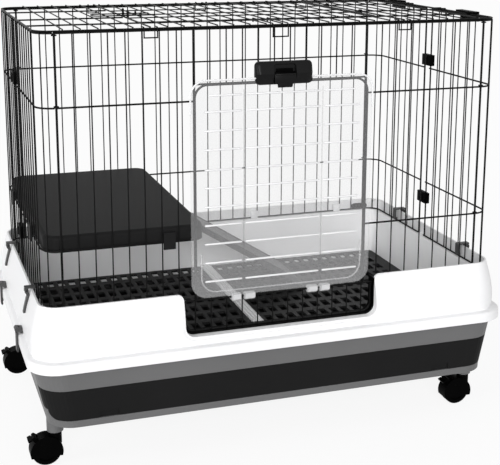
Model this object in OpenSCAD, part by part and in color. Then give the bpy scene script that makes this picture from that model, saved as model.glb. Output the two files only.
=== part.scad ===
/* [Wire shell] */
// Width of the wire shell, side wire plane to side wire plane
shell_w = 745; // [735:1:755]
// Depth of the wire shell, front wire plane to back wire plane
shell_d = 448; // [440:1:456]
// Plan radius of the shell's corners
shell_r = 28.5; // [24:0.5:32]
// Spacing of the upright wires
pitch = 25.4; // [25:0.1:25.6]
// Diameter of an upright wire
wire_v = 2; // [1.6:0.1:2.4]
// Diameter of a level wire
wire_h = 2.8; // [2.4:0.1:3.2]
// Diameter of the posts where two panels meet
post_d = 3.5; // [3:0.1:3.8]
// Height of the shell's top wire
top_z = 672.6; // [660:0.2:685]
// Height of the upper level wire
upper_z = 565.5; // [550:0.5:567]
// Height of the lower level wire
lower_z = 352.6; // [350:0.2:356]
// Height of the bottom wire
bottom_z = 250; // [249.6:0.1:250.4]
// Height of the wire that drops into the cut-out
drop_z = 204; // [203.6:0.1:206]
// Half width of the drop section
drop_hw = 157; // [155:0.5:158]
// Width of one side latch, over the pair of joint wires
side_clip_w = 52; // [46:1:56]
// Height of one side latch
side_clip_h = 20; // [16:1:22]

/* [Front door] */
// Half width of the door opening, wire centre to centre
open_hw = 139.7; // [139:0.1:140.4]
// Height of the opening's top wire
open_top = 591; // [588:0.5:592]
// Height of the opening's bottom wire, the hinge axis
hinge_z = 254; // [253.8:0.1:256]
// Width of the clear door
door_w = 296; // [290:1:300]
// Height of the clear door
door_h = 339; // [338:0.5:341]
// Thickness of the clear door
door_t = 4; // [3.5:0.1:4.4]
// Corner radius of the clear door
door_r = 25; // [15:1:30]
// Spacing of the door's level ribs
rib_pitch = 29.2; // [28:0.1:30]
// Number of level ribs
rib_n = 11; // [9:1:11]
// Width of the latch housing
latch_w = 92; // [84:1:96]
// Upward travel of the latch button
latch_travel = 6; // [4:0.5:6]

/* [Top] */
// Half width of the opening for the top door
top_open_hw = 203.2; // [203:0.1:203.4]
// Front edge of the top door's opening
top_open_y0 = -132; // [-134:0.5:-130]
// Gap between the top door's frame and the fixed wires
top_gap = 5; // [4:0.5:6]

/* [Tub] */
// Gap from the wire plane to the outside of the lip
lip_gap = 6; // [5.8:0.1:6.4]
// Height of the lip
lip_z = 268; // [266:0.5:270]
// Plan radius of the lip's corners
lip_r = 31; // [29:0.5:34]
// Wall thickness of the tub
tub_t = 3; // [2.6:0.1:3.2]
// How far the foot stands out from the lip
flare = 12.5; // [11:0.5:13.5]
// Height of the foot of the outer wall
foot_z = 188; // [187.9:0.1:188.1]
// Half width of the cut-out
cut_hw = 160; // [160:0.5:164]
// Height of the cut-out's sill
cut_z = 202; // [200:0.5:202]
// Lower corner radius of the cut-out
cut_r = 16; // [14:0.5:18]
// Distance of the raised bead from the cut-out
bead_in = 5; // [4:0.5:7]
// Width of the raised bead
bead_w = 7; // [5:0.5:9]

/* [Base] */
// How far the lower ring stands out past the tub's lip, left and right
ring_out_x = 20.5; // [18.5:0.5:21.5]
// How far the lower ring stands out past the tub's lip, front and back
ring_out_y = 26; // [24:0.5:27]
// Height of the lower ring
ring_h = 16; // [15.9:0.1:16.1]
// How far the base's top stands in from the ring, left and right
base_in_x = 8.7; // [8:0.1:10]
// How far the base stands in from the ring, front and back
base_in_y = 15; // [14.5:0.5:16]
// How much each side wall draws in towards the bottom
base_draw = 19.6; // [17:0.2:21]
// Wall thickness of the base
base_t = 4; // [3.5:0.1:4.2]
// Height of the bottom of the base rail
rail_z = 79; // [78:0.5:80]
// Height of the bottom rail
rail_h = 11; // [10:0.5:11.5]
// Height of the top edge of the drawer front
drawer_top = 139; // [136:0.5:141]
// Lower corner radius of the drawer front
drawer_r = 14; // [10:1:20]
// Depth of the drawer front's two recesses
recess = 2.5; // [1.5:0.5:3]
// Distance of the drawer pan's side from the foot of the base's side
pan_in = 30.7; // [29.7:1:40.7]
// Travel of the drawer
drawer_travel = 330; // [250:10:340]

/* [Floor] */
// Height of the top of the floor grids
floor_z = 164; // [163.5:0.1:164.5]
// Thickness of a floor grid
grid_t = 4; // [3.5:0.1:4]
// Spacing of the grid's holes
hole_pitch = 20; // [19:0.5:21]
// Side of one hole
hole_w = 13; // [11:0.5:14]
// Width of the divider between the grids
divider_w = 19; // [16:1:22]

/* [Platform and ramp] */
// Left edge of the platform
plat_x0 = -367; // [-367.4:0.1:-366]
// Right edge of the platform
plat_x1 = -121; // [-126:1:-118]
// Back edge of the platform
plat_y1 = 201; // [190:1:205]
// Height of the top of the platform
plat_z = 374; // [372:0.5:380]
// Height of the platform's skirt
plat_h = 25; // [22:0.5:26]
// Plan radius of the platform's corners
plat_r = 22; // [21:0.5:23.5]
// Front edge of the ramp
ramp_y0 = 33; // [28:1:40]
// Width of the ramp
ramp_w = 129; // [115:1:132]
// Height of the ramp's pivot
ramp_pz = 330; // [328:0.5:334]
// Thickness of the ramp
ramp_t = 10; // [8:0.5:11]

/* [Casters] */
// Distance of the swivel axes from the foot of the base's sides
caster_in_x = 13.7; // [13.2:0.5:16.7]
// Distance of the swivel axes from the base's front and back
caster_in_y = 56; // [54:0.5:58]
// Wheel radius
wheel_r = 23; // [22.5:0.1:23.3]
// Wheel width
wheel_w = 17; // [15:0.5:18]
// Trail of the wheel behind the swivel axis
trail = 15; // [14:0.5:16]
// Axle radius
axle_r = 3; // [2.5:0.1:3.5]
// Stem radius
stem_r = 4; // [3.5:0.1:4.5]

/* [Clearances] */
// Radial clearance of a running fit
run_fit = 0.05; // [0.02:0.01:0.09]
// Gap between pieces that pass each other
pass_gap = 0.3; // [0.25:0.05:0.4]

/* [Hidden] */
$fn = 32;
hw = shell_w / 2;
hd = shell_d / 2;
weld = 0.2;
// level wires run inside the upright ones
hz_in = (wire_v + wire_h) / 2 - weld;
top_end = top_z + wire_h / 2;
bot_end = bottom_z - wire_h / 2;
// the top's own border wire sits on the shell's top wire
lid_z = top_z + wire_h;
lid_up = lid_z + (wire_v + wire_h) / 2 - weld;
post_x = 13.5 * pitch;
joint_f = 5;
joint_b = 28;
lip_hw = hw + lip_gap;
lip_hd = hd + lip_gap;
ring_w = 2 * (lip_hw + ring_out_x);
ring_d = 2 * (lip_hd + ring_out_y);
base_w = ring_w - 2 * base_in_x;
base_d = ring_d - 2 * base_in_y;
ledge_z = bot_end;
ring_top = foot_z;
ring_z = ring_top - ring_h;
base_top = ring_z;
sock_z = 54;
pan_z = rail_z + rail_h + 0.2;
wire_col = [0.04, 0.04, 0.04];
black = [0.10, 0.10, 0.10];
white = [0.93, 0.93, 0.93];
grey = [0.38, 0.38, 0.38];
dark_grey = [0.25, 0.25, 0.25];

// ---- wire helpers ----
module rod(a, b, d) {
    v = b - a;
    translate(a) rotate([0, acos(v[2] / norm(v)), atan2(v[1], v[0])]) cylinder(d = d, h = norm(v));
}

function unit(a, b) = (b - a) / norm(b - a);
function turn(a, b, c) = let (u = unit(a, b), v = unit(b, c)) atan2(u[0] * v[1] - u[1] * v[0], u * v);
function trim(pts, i, r) = (i == 0 || i == len(pts) - 1) ? 0 :
    r * tan(abs(turn(pts[i - 1], pts[i], pts[i + 1])) / 2);

// a round wire through flat points, bent with inside corners of centre radius r
module bent_wire(pts, r, d) {
    for (i = [0:len(pts) - 2]) {
        u = unit(pts[i], pts[i + 1]);
        a = pts[i] + u * trim(pts, i, r);
        b = pts[i + 1] - u * trim(pts, i + 1, r);
        if (norm(b - a) > 0.01) rod([a[0], a[1], 0], [b[0], b[1], 0], d);
    }
    if (len(pts) > 2) for (i = [1:len(pts) - 2]) {
        u = unit(pts[i - 1], pts[i]);
        phi = turn(pts[i - 1], pts[i], pts[i + 1]);
        s = sign(phi);
        left = [-u[1], u[0]];
        c = pts[i] - u * trim(pts, i, r) + left * r * s;
        start = atan2(u[1], u[0]) - 90 * s - (s < 0 ? abs(phi) : 0);
        translate([c[0], c[1], 0]) rotate(start) rotate_extrude(angle = abs(phi))
            translate([r, 0]) circle(d = d);
    }
}

// flat points read as X and Z, at depth y
module upright_wire(pts, r, d, y) { translate([0, y, 0]) rotate([90, 0, 0]) bent_wire(pts, r, d); }
// flat points read as Y and Z, at x
module side_wire(pts, r, d, x) {
    translate([x, 0, 0]) rotate([90, 0, 90]) bent_wire(pts, r, d);
}
module post(x, y, z0, z1, d) { translate([x, y, z0]) cylinder(d = d, h = z1 - z0); }

// a wire ring round an upright axis
module eye(x, y, z, r, d) {
    translate([x, y, z]) rotate_extrude() translate([r, 0]) circle(d = d);
}

// ---- wire shell ----
module front_panel() color(wire_col) {
    yh = -hd + hz_in;
    for (i = [0, 27]) post((i - 13.5) * pitch, -hd, bot_end, top_end, post_d);
    for (i = [1:7]) for (s = [-1, 1]) post(s * (i - 13.5) * pitch, -hd, bot_end, top_end, wire_v);
    for (i = [9:18]) post((i - 13.5) * pitch, -hd, open_top, top_end, wire_v);
    for (i = [8:19]) post((i - 13.5) * pitch, -hd, drop_z - 1, hinge_z, wire_v);
    for (s = [-1, 1]) post(s * open_hw, -hd, hinge_z - 1, top_end, wire_h);
    rod([-post_x, yh, top_z], [post_x, yh, top_z], wire_h);
    for (z = [upper_z, lower_z]) for (s = [-1, 1])
        rod([s * open_hw, yh, z], [s * post_x, yh, z], wire_h);
    rod([-open_hw, -hd, open_top], [open_hw, -hd, open_top], wire_h);
    rod([-6.5 * pitch - 1, -hd, hinge_z], [6.5 * pitch + 1, -hd, hinge_z], wire_h);
    for (s = [-1, 1]) {
        upright_wire([[s * post_x, bottom_z], [s * drop_hw, bottom_z], [s * drop_hw, bottom_z - 20]], 3, wire_h, yh);
        upright_wire([[s * drop_hw, bottom_z - 20], [s * drop_hw, drop_z], [0, drop_z]], 14, wire_h, yh);
    }
}

module back_panel() color(wire_col) {
    yh = hd - hz_in;
    for (i = [0, 27]) post((i - 13.5) * pitch, hd, bot_end, top_end, post_d);
    for (i = [1:26]) post((i - 13.5) * pitch, hd, bot_end, top_end, wire_v);
    for (z = [top_z, upper_z, lower_z, bottom_z]) rod([-post_x, yh, z], [post_x, yh, z], wire_h);
}

// one panel round a corner: sx is the side, sy the front or back, n its side wires
module corner_panel(sx, sy, y_joint, n) color(wire_col) {
    rb = shell_r - hz_in;
    cx = hw - shell_r;
    cy = hd - shell_r;
    for (z = [top_z, upper_z, lower_z, bottom_z]) {
        translate([sx * cx, sy * cy, z]) mirror([0, sy > 0 ? 0 : 1, 0]) mirror([sx > 0 ? 0 : 1, 0, 0])
            rotate_extrude(angle = 88) translate([rb, 0]) circle(d = wire_h);
        rod([sx * (hw - hz_in), sy * cy, z], [sx * (hw - hz_in), y_joint, z], wire_h);
    }
    // rings that hook the panel to the joint post
    for (z = [top_z, upper_z, lower_z]) {
        dz = z == top_z ? -2.6 : 2.6;
        eye(sx * post_x, sy * hd, z + dz, post_d / 2 + pass_gap + 1, 2);
        rod([sx * (cx + 1.2), sy * (hd - hz_in), z], [sx * (cx + 1.2), sy * (hd - hz_in), z + dz], 2);
    }
    for (k = [0:n - 1]) {
        y = y_joint + sy * k * pitch;
        over = max(0, abs(y) - cy);
        x = cx + sqrt(shell_r * shell_r - over * over);
        post(sx * x, y, bot_end, top_end, k == 0 ? wire_h : wire_v);
    }
    // the upright in the middle of the bend
    post(sx * (cx + shell_r * sin(40)), sy * (cy + shell_r * cos(40)), bot_end, top_end, wire_v);
}
module corner_panel_fl() corner_panel(-1, -1, joint_f, 9);
module corner_panel_fr() corner_panel(1, -1, joint_f, 9);
module corner_panel_bl() corner_panel(-1, 1, joint_b, 7);
module corner_panel_br() corner_panel(1, 1, joint_b, 7);

// side latch: a grooved bar that slides on the pair of joint wires
module side_clip(sx, z) color(black) {
    ym = (joint_f + joint_b) / 2;
    difference() {
        translate([sx * hw - 4.5, ym - side_clip_w / 2, z]) cube([9, side_clip_w, side_clip_h]);
        for (y = [joint_f, joint_b]) post(sx * hw, y, z - 1, z + side_clip_h + 1, wire_h + 2 * run_fit);
        // grooves that clear the broken level wires
        for (s = [-1, 1]) translate([sx * hw + sx * 3, ym + s * (side_clip_w / 2 - 3), z + 3])
            translate([-1.6, -1, 0]) cube([3.2, 2, side_clip_h - 6]);
    }
}
module side_clip_lu() side_clip(-1, upper_z + 4.5);
module side_clip_ll() side_clip(-1, lower_z - 40.6);
module side_clip_ru() side_clip(1, upper_z + 4.5);
module side_clip_rl() side_clip(1, lower_z - 40.6);

// ---- top ----
lid_hx = hw - hz_in;
lid_hy = hd - hz_in;
lid_r = shell_r - hz_in;
top_x_wires = [top_open_y0, -32, 110];
door_x0 = -top_open_hw + top_gap;
door_x1 = top_open_hw - top_gap;
door_y0 = top_open_y0 + top_gap + 0.4;
door_y1 = lid_hy - top_gap - 1;

// a formed loop from the top's edge over the rail below, legs w apart and leg long on top
module rail_loop(w, drop, leg) {
    out = wire_h / 2 + wire_v / 2 + 0.8;
    for (s = [-1, 1]) side_wire([[leg, lid_up - lid_z], [-out, lid_up - lid_z], [-out, -drop]],
        2.5, wire_v, s * w / 2);
    rod([-w / 2 - 0.9, -out, -drop], [w / 2 + 0.9, -out, -drop], wire_v);
}
module rail_loops() {
    for (x = [-203.2, 203.2]) translate([x, -lid_hy, lid_z]) rail_loop(20, 13, 14);
    for (x = [-203.2, 0, 203.2]) translate([x, lid_hy, lid_z]) rotate(180) rail_loop(20, 13, 3.5);
    for (y = [-33.1, 91.5]) translate([lid_hx, y, lid_z]) rotate(90) rail_loop(16, 11, 14);
}

module top_panel() color(wire_col) {
    cx = lid_hx - lid_r;
    cy = lid_hy - lid_r;
    translate([0, 0, lid_z]) {
        for (s = [-1, 1]) {
            rod([-cx, s * lid_hy, 0], [cx, s * lid_hy, 0], wire_h);
            rod([s * lid_hx, -cy, 0], [s * lid_hx, cy, 0], wire_h);
        }
        for (q = [0:3]) translate([(q == 0 || q == 3 ? 1 : -1) * cx, (q < 2 ? 1 : -1) * cy, 0])
            rotate(q * 90) rotate_extrude(angle = 90) translate([lid_r, 0]) circle(d = wire_h);
        for (y = top_x_wires) rod([-lid_hx, y, 0], [-top_open_hw, y, 0], wire_h - 0.3);
        for (y = top_x_wires) rod([top_open_hw, y, 0], [lid_hx, y, 0], wire_h - 0.3);
        rod([-top_open_hw, top_open_y0, 0], [top_open_hw, top_open_y0, 0], wire_h);
    }
    for (k = [0:26]) {
        x = -13 * pitch + k * pitch;
        edge = abs(x) < top_open_hw - 1 ? top_open_y0 : lid_hy;
        rod([x, -lid_hy, lid_up], [x, edge, lid_up], abs(abs(x) - top_open_hw) < 1 ? wire_h - 0.4 : wire_v);
    }
    rail_loops();
}

// the top door's hinge rings turn on the fixed wire right of its opening
top_hinge_y = [-54, 93];
hinge_d = wire_h - 0.4;
door_x_wires = [-44, 12, 98];

module top_door() color(wire_col) {
    r_eye = hinge_d / 2 + run_fit + wire_v / 2;
    translate([0, 0, lid_z]) {
        bent_wire([[0, door_y0], [door_x1, door_y0], [door_x1, door_y1], [door_x0, door_y1],
            [door_x0, door_y0], [0, door_y0]], 6, wire_h);
        for (y = door_x_wires) rod([door_x0, y, 0], [door_x1, y, 0], wire_v);
    }
    for (k = [-7:7]) rod([k * pitch, door_y0, lid_up], [k * pitch, door_y1, lid_up], wire_v);
    for (y = top_hinge_y) for (s = [-3, 3]) {
        translate([top_open_hw, y + s, lid_up]) rotate([90, 0, 0])
            rotate_extrude() translate([r_eye, 0]) circle(d = wire_v);
        rod([door_x1, y + s, lid_z], [top_open_hw - r_eye, y + s, lid_up], wire_v);
    }
    // tall loops that guide the slide bolt, and low ones further in
    for (y = bolt_y) {
        side_wire([[y - 5, lid_z], [y - 5, bolt_z + 8], [y + 5, bolt_z + 8], [y + 5, lid_z]],
            3, wire_v, door_x0);
        side_wire([[y - 4, lid_up], [y - 4, bolt_z + 3.4], [y + 4, bolt_z + 3.4], [y + 4, lid_up]],
            2, wire_v - 0.3, -7 * pitch);
    }
}

bolt_y = [-47, -11];
bolt_z = lid_up + wire_v + pass_gap;
module top_slide_bolt() color(wire_col) translate([0, 0, bolt_z]) {
    bent_wire([[-157, bolt_y[0]], [-253, bolt_y[0]], [-253, bolt_y[1]], [-157, bolt_y[1]]], 10, wire_v);
    for (y = bolt_y) translate([-157, y, 0]) sphere(d = wire_v + 0.4);
}

// a wire loop that turns up from the top and hooks down over the front rail
loop_x = [-16, 8];
module top_front_latch() color(wire_col) {
    r_eye = wire_h / 2 + run_fit + wire_v / 2;
    up = lid_z + wire_h / 2 + wire_v / 2 + pass_gap;
    front = -hd - wire_v / 2 - wire_v / 2 - 1.3;
    for (x = loop_x) {
        translate([x, top_open_y0, lid_z]) rotate([90, 0, 90])
            rotate_extrude() translate([r_eye, 0]) circle(d = wire_v);
        side_wire([[top_open_y0, up], [front, up], [front, lid_z - 17]], 4, wire_v, x);
    }
    rod([loop_x[0] - 0.9, front, lid_z - 17], [loop_x[1] + 0.9, front, lid_z - 17], wire_v);
}

// clamps that hold the top's right edge to the side
module top_edge_clips() color(black) {
    out = hw + wire_v / 2 + pass_gap;
    lift = lid_z + wire_h / 2 + pass_gap;
    for (y = [[-151, 58], [122, 53]]) {
        translate([out, y[0], top_z - 9]) cube([3, y[1], lift + 3 - top_z + 9]);
        translate([hw - 8, y[0], lift]) cube([out - hw + 9, y[1], 3]);
    }
}

// ---- front door ----
door_y = -hd - 5;
door_z0 = hinge_z + 5;
door_top = door_z0 + door_h;
face_y = door_y - door_t;

module round_rect(w, h, r) {
    square([w - 2 * r, h], center = true);
    square([w, h - 2 * r], center = true);
    for (x = [-1, 1]) for (y = [-1, 1]) translate([x * (w / 2 - r), y * (h / 2 - r)]) circle(r);
}
module facing(y, t) { translate([0, y, 0]) rotate([90, 0, 0]) linear_extrude(height = t) children(); }

module door_panel() color([0.8, 0.82, 0.84, 0.5]) {
    zc = (door_z0 + door_top) / 2;
    facing(door_y, door_t) translate([0, zc]) round_rect(door_w, door_h, door_r);
    // raised border line
    facing(face_y + 0.5, 2) translate([0, zc]) difference() {
        round_rect(door_w - 26, door_h - 12, 22);
        round_rect(door_w - 33, door_h - 19, 18.5);
    }
    // level ribs, broken at two upright ribs
    for (k = [0:rib_n - 2]) facing(face_y + 0.5, 1.3) for (b = [[-124, 58], [-57, 114], [66, 58]])
        translate([b[0], 285 + k * rib_pitch - 1]) square([b[1], 2]);
    facing(face_y + 0.5, 1.3) for (x = [-63, 63])
        translate([x - 1.2, door_z0 + 12]) square([2.4, door_h - 42]);
}

// clips of the door's lower edge that turn on the opening's bottom wire
module door_hinges() color(white) {
    r_in = wire_h / 2 + run_fit;
    for (c = [-74, -52.5, 52.5, 74]) difference() {
        union() {
            translate([c - 8, -hd, hinge_z]) rotate([0, 90, 0]) cylinder(r = 4.4, h = 16);
            translate([c - 8, door_y - door_t, hinge_z - 4]) cube([16, door_t + 2, door_z0 - hinge_z + 4]);
        }
        translate([c - 9, -hd, hinge_z]) rotate([0, 90, 0]) cylinder(r = r_in, h = 18);
    }
}

latch_y = -hd - 16;
latch_z0 = door_top - 11;
latch_h = 35;
button_z = latch_z0 + 9;
nose_z = door_top + 4;
module latch_body() color(black) difference() {
    union() {
        intersection() {
            facing(-hd - 3, latch_y * -1 - hd - 3) translate([0, latch_z0 + latch_h / 2])
                round_rect(latch_w, latch_h, 7);
            union() {
                translate([-60, latch_y, latch_z0]) cube([120, face_y - pass_gap - latch_y - 1.2, latch_h]);
                translate([-60, latch_y, door_top]) cube([120, -hd - 3 - latch_y, latch_h]);
            }
        }
        for (x = [-34, 34]) translate([x - 4, face_y - 3, door_top - 5.7]) cube([8, 3, 5.4]);
    }
    translate([-17.5, latch_y - 1, latch_z0 - 1]) cube([35, 5, latch_h - 2]);
    translate([-6.4, latch_y, nose_z - pass_gap]) cube([12.8, 20, 7 + latch_travel + 2 * pass_gap]);
}

// the button slides up in the housing; its nose stands over the opening's top wire
module latch_button() color(black) {
    translate([-17.2, latch_y + 0.6, button_z]) cube([34.4, 3.1, 16]);
    translate([-12.5, latch_y + 0.6, latch_z0 - 5]) cube([25, 3.1, button_z - latch_z0 + 6]);
    translate([-10, latch_y - 0.6, latch_z0 - 3]) cube([20, 1.4, 2]);
    translate([-6, latch_y + 3, nose_z]) cube([12, -hd - 1.9 - latch_y - 3, 7]);
}

// ---- tub ----
steps = 8;
function skin_u(t) = flare * sin(110 * t) / sin(110);
skin_pts = [for (k = [0:steps]) [skin_u(k / steps), lip_z - (lip_z - foot_z) * k / steps]];
skin_tab = [for (k = [steps:-1:0]) [skin_pts[k][1], skin_pts[k][0]]];
function skin(z) = lookup(z, skin_tab);
inner_top = -14;
inner_bot = -23;
shelf_z = floor_z - grid_t;
void_z = ledge_z - tub_t;

// sweep a section of offsets and heights round a rounded rectangle
module sweep(hx, hy, r) {
    for (s = [0, 180]) rotate(s) {
        translate([0, hy, 0]) rotate([90, 0, 90]) translate([0, 0, -(hx - r)])
            linear_extrude(height = 2 * (hx - r)) children();
        translate([hx, 0, 0]) rotate([90, 0, 0]) translate([0, 0, -(hy - r)])
            linear_extrude(height = 2 * (hy - r)) children();
    }
    for (q = [0:3]) translate([(q == 0 || q == 3 ? 1 : -1) * (hx - r), (q < 2 ? 1 : -1) * (hy - r), 0])
        rotate(q * 90) rotate_extrude(angle = 90) translate([r, 0]) children();
}
module tub_solid() {
    polygon(concat([[-tub_t, lip_z]], skin_pts, [[flare - tub_t, foot_z], [inner_bot + tub_t, shelf_z - 3], [inner_bot, shelf_z - 3],
        [inner_top, ledge_z], [-tub_t, ledge_z]]));
}
module tub_void() {
    polygon(concat([[skin(void_z) - tub_t, void_z]],
        [for (p = skin_pts) if (p[1] < void_z) [p[0] - tub_t, p[1]]],
        [[flare - tub_t, shelf_z - 9], [inner_bot + tub_t, shelf_z - 9],
        [inner_bot + tub_t, shelf_z - 2], [inner_top + tub_t, void_z]]));
}
module tub_section() { difference() { tub_solid(); tub_void(); } }
module front_run(w) {
    translate([0, -lip_hd, 0]) rotate([90, 0, -90]) translate([0, 0, -w]) linear_extrude(height = 2 * w)
        children();
}
// outline of the cut-out grown by g, with its upper corners rounded off
module cut_outline(g, open) {
    hwid = cut_hw + g;
    translate([-hwid + cut_r + g, cut_z - g]) square([2 * (hwid - cut_r - g), 90]);
    translate([-hwid, cut_z + cut_r]) square([2 * hwid, 90]);
    for (s = [-1, 1]) translate([s * (cut_hw - cut_r), cut_z + cut_r]) circle(cut_r + g);
    if (open > 0) for (s = [-1, 1]) translate([s * hwid, lip_z - open]) difference() {
        translate([s > 0 ? -1 : -open, 0]) square([open + 1, 20]);
        translate([s * open, 0]) circle(open);
    }
}

module tub() color(white) {
    difference() {
        union() {
            sweep(lip_hw, lip_hd, lip_r) tub_section();
            // sill that closes the cut-out's edge
            intersection() {
                front_run(cut_hw + 20) tub_solid();
                facing(-lip_hd + 24, 60) difference() { cut_outline(tub_t, 0); cut_outline(-1, 0); }
            }
            // raised bead round the cut-out
            intersection() {
                front_run(cut_hw + 24) translate([1.6, 0]) polygon(concat(skin_pts,
                    [[flare - 6, foot_z], [-1.6, lip_z]]));
                facing(-lip_hd, 40) intersection() {
                    difference() { cut_outline(bead_in + bead_w, 0); cut_outline(bead_in, 0); }
                    translate([-200, foot_z]) square([400, lip_z - foot_z - 1]);
                }
            }
        }
        facing(-lip_hd + 25, 60) cut_outline(0, 9);
    }
    // shelf under the floor grids
    translate([0, 0, shelf_z - 3]) linear_extrude(height = 3) difference() {
        round_rect(2 * (lip_hw + inner_bot + 1), 2 * (lip_hd + inner_bot + 1), lip_r + inner_bot + 1);
        difference() {
            round_rect(2 * (lip_hw - 36), 2 * (lip_hd - 36), 5);
            square([divider_w + 12, 2 * lip_hd], center = true);
        }
    }
}

grid_hx = lip_hw + inner_bot - 0.5;
grid_hy = lip_hd + inner_bot - 0.5;
module floor_grid(s) color(black) {
    x0 = divider_w / 2 + pass_gap;
    cols = floor((grid_hx - x0 - 12) / hole_pitch);
    rows = floor((2 * grid_hy - 14) / hole_pitch);
    xm = (x0 + grid_hx) / 2;
    translate([0, 0, shelf_z]) linear_extrude(height = grid_t) difference() {
        intersection() {
            round_rect(2 * grid_hx, 2 * grid_hy, lip_r + inner_bot + 0.5);
            translate([s > 0 ? x0 : -400, -300]) square([400 - x0, 600]);
        }
        for (i = [0:cols - 1]) for (j = [0:rows - 1])
            translate([s * (xm + (i - (cols - 1) / 2 + (j % 2 == 0 ? 0.25 : -0.25)) * hole_pitch),
                (j - (rows - 1) / 2) * hole_pitch]) square(hole_w, center = true);
    }
}
module floor_grid_left() floor_grid(-1);
module floor_grid_right() floor_grid(1);
module floor_divider() color(white) {
    translate([-divider_w / 2, -grid_hy, shelf_z]) cube([divider_w, 2 * grid_hy, grid_t + 3]);
    for (x = [-6, 0, 6]) translate([x, -grid_hy + 4, floor_z + 3]) rotate([-90, 0, 0])
        cylinder(r = 1.6, h = 2 * grid_hy - 8);
}

// ---- base ----
module ring() color(white) {
    sweep(ring_w / 2, ring_d / 2, 48) polygon([[-20, ring_z], [0, ring_z], [0, ring_top - 4],
        [-0.6, ring_top - 2], [-2, ring_top - 0.6], [-4, ring_top], [-20, ring_top]]);
}

base_hx = base_w / 2 - base_draw;
base_hy = base_d / 2;
pan_hw = base_hx - pan_in;
caster_x = base_hx - caster_in_x;
caster_y = base_hy - caster_in_y;
taper_z = rail_z + 5;
taper_h = base_top - taper_z;
// rounded rectangle as points, half sizes a and b
function corner_pts(a, b, r) = [for (q = [0:3]) for (k = [0:9]) let (t = q * 90 + k * 10)
    [(q == 0 || q == 3 ? 1 : -1) * (a - r) + r * cos(t), (q < 2 ? 1 : -1) * (b - r) + r * sin(t)]];
// tapered block of the base's outline, drawn in by g all round
module base_block(g, z0, z1) {
    a = base_hx - g + base_draw * (z0 - taper_z) / taper_h;
    b = base_hx - g + base_draw * (z1 - taper_z) / taper_h;
    translate([0, 0, z0]) linear_extrude(height = z1 - z0, scale = [b / a, 1], slices = 1)
        polygon(corner_pts(a, base_hy - g, 41 - g));
}
// outline of the drawer front, shrunk by g
module drawer_outline(g) {
    low = rail_z + rail_h + g;
    translate([-base_hx + drawer_r, low]) square([2 * (base_hx - drawer_r), drawer_top - g - low]);
    translate([-base_w / 2 - 10, low + drawer_r]) square([base_w + 20, drawer_top - g - low - drawer_r]);
    for (s = [-1, 1]) translate([s * (base_hx - drawer_r), low + drawer_r]) circle(drawer_r);
}
wrap_y = -base_hy + 50;

module base() color(grey) {
    shelf_top = rail_z + rail_h;
    difference() {
        union() {
            difference() {
                union() {
                    base_block(0, taper_z, base_top);
                    translate([0, 0, rail_z]) linear_extrude(height = 5)
                        polygon(corner_pts(base_hx, base_hy, 41));
                }
                base_block(base_t, shelf_top, base_top + 1);
                translate([-base_hx + 40.7, -base_hy + 36, rail_z - 1])
                    cube([2 * base_hx - 81.4, 2 * base_hy - 72, 30]);
                intersection() {
                    facing(wrap_y, 60) drawer_outline(0);
                    translate([-base_w / 2 - 20, -base_hy - 30, 0]) cube([base_w + 40, base_hy + 30 + wrap_y, 200]);
                }
            }
            for (x = [-1, 1]) for (y = [-1, 1]) translate([x * caster_x, y * caster_y, sock_z])
                cylinder(r = 13, h = rail_z - sock_z + 4);
            // guides that keep the drawer straight
            for (s = [-1, 1]) translate([s * (pan_hw + 2.5) - 1.5, wrap_y + 8, shelf_top - 0.5])
                cube([3, 2 * base_hy - 90, 3.5]);
        }
        for (x = [-1, 1]) for (y = [-1, 1]) translate([x * caster_x, y * caster_y, sock_z - 1])
            cylinder(r = stem_r + run_fit, h = 24);
    }
}

module drawer_front() color(black) {
    difference() {
        intersection() {
            base_block(0, taper_z, base_top);
            facing(wrap_y - pass_gap, 60) drawer_outline(pass_gap);
        }
        base_block(base_t, taper_z - 1, base_top + 1);
        for (s = [-1, 1]) translate([s * 281 - 15, -base_hy - 30, rail_z])
            cube([30, 30 + recess, rail_h + 11]);
    }
}
module drawer_pan() color(grey) {
    y0 = -base_hy + base_t;
    y1 = base_hy - 26;
    difference() {
        translate([0, (y0 + y1) / 2, pan_z]) linear_extrude(height = drawer_top - 3 - pan_z)
            square([2 * pan_hw, y1 - y0], center = true);
        translate([0, (y0 + y1) / 2, pan_z + 2.5]) linear_extrude(height = 60)
            square([2 * pan_hw - 5, y1 - y0 - 5], center = true);
        // the front wall is thinner where the drawer front begins to bend
        for (s = [-1, 1]) translate([s * (pan_hw - 6) - 6.5, y0 - 1, pan_z - 1]) cube([13, 2.6, 60]);
    }
}

// ---- clips over the lip and latches over the ring ----
clip_ys = [-128.5, 123];
latch_ys = [-104, 126];
pin_r = 1.5;
piv_u = 7;
piv_z = lip_z - 1.5;
module at_side(sx, y) { translate([sx * lip_hw, y, 0]) scale_x(sx) children(); }
module scale_x(sx) { if (sx > 0) children(); else mirror([1, 0, 0]) children(); }
// a section of offset and height, w wide along the side
module slab(w) { rotate([90, 0, 0]) linear_extrude(height = w, center = true) children(); }

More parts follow.
